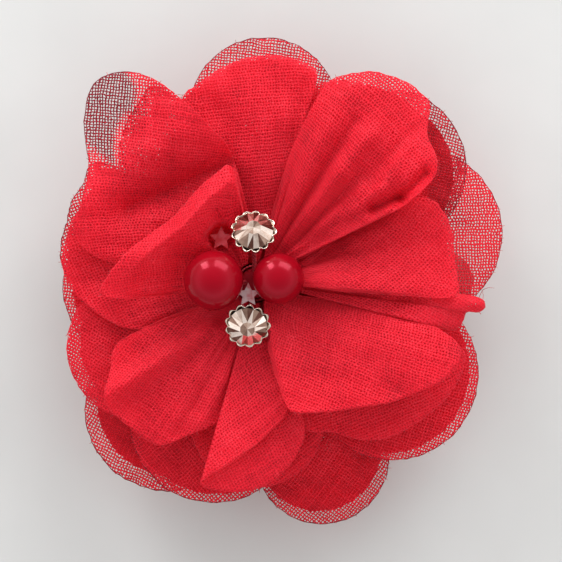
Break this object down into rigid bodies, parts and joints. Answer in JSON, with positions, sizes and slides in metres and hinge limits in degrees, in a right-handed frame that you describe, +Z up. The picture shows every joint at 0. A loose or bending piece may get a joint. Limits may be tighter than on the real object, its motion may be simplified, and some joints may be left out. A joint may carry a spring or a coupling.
{
  "type": "flower hair clip",
  "caption": "Gathered chiffon flower with pearls and rhinestones at its heart, on a felt disc glued to a sprung alligator hair clip.",
  "frame": {"origin": "On the plane the clip rests on, under the centre of the flower's bounding box", "axes": "+Z up out of the flower, +X along the clip towards the tip of its jaws, +Y across the clip; hair goes in from the +X end"},
  "size_m": [0.0456, 0.05, 0.0178],
  "materials": {
    "chiffon": "sheer woven, matte",
    "felt": "felted, matte",
    "thread": "twisted thread",
    "pearl": "pearlescent gloss",
    "crystal": "faceted, polished",
    "setting": "plated",
    "clear_bead": "clear, moulded",
    "glue": "set hot-melt",
    "steel": "nickel plated",
    "spring_wire": "drawn wire"
  },
  "bodies": {
    "clip_body": {"upper_jaw": "steel", "hinge_pin": "steel", "jaw_spring": "spring_wire", "glue_pad": "glue", "felt_backing": "felt", "glue_core": "glue", "gather_thread": "thread", "bead_stems": "setting", "pearl_large": "pearl", "pearl_small": "pearl", "rhinestone_upper": "crystal", "rhinestone_lower": "crystal", "cup_upper": "setting", "cup_lower": "setting", "star_bead_front": "clear_bead", "star_bead_side": "clear_bead", "outer_petal_top": "chiffon", "outer_petal_right": "chiffon", "outer_petal_low_right": "chiffon", "outer_petal_low_left": "chiffon", "outer_petal_left": "chiffon", "under_petal_top_left": "chiffon", "under_petal_top_right": "chiffon", "under_petal_right": "chiffon", "under_petal_bottom": "chiffon", "under_petal_left": "chiffon", "middle_petal_low_left": "chiffon", "middle_petal_top_right": "chiffon", "middle_petal_low_right": "chiffon", "middle_petal_bottom": "chiffon", "middle_petal_top": "chiffon", "middle_petal_left": "chiffon", "middle_petal_right": "chiffon", "inner_petal_low_left": "chiffon", "inner_petal_top_left": "chiffon", "inner_petal_top_right": "chiffon", "inner_petal_bottom": "chiffon", "inner_petal_right": "chiffon", "inner_petal_low_right": "chiffon", "inner_petal_curled": "chiffon"},
    "lever": {"lower_jaw": "steel"}
  },
  "joints": [
    {"name": "jaw_hinge", "type": "hinge", "parent": "clip_body", "child": "lever", "pos_m": [-0.007, 0, 0.0034], "axis": [0, 1, 0], "range_deg": [0, 20], "stiffness_Nm_per_rad": 0.04, "springref_deg": -34.38, "deforming": ["jaw_spring"]}
  ]
}
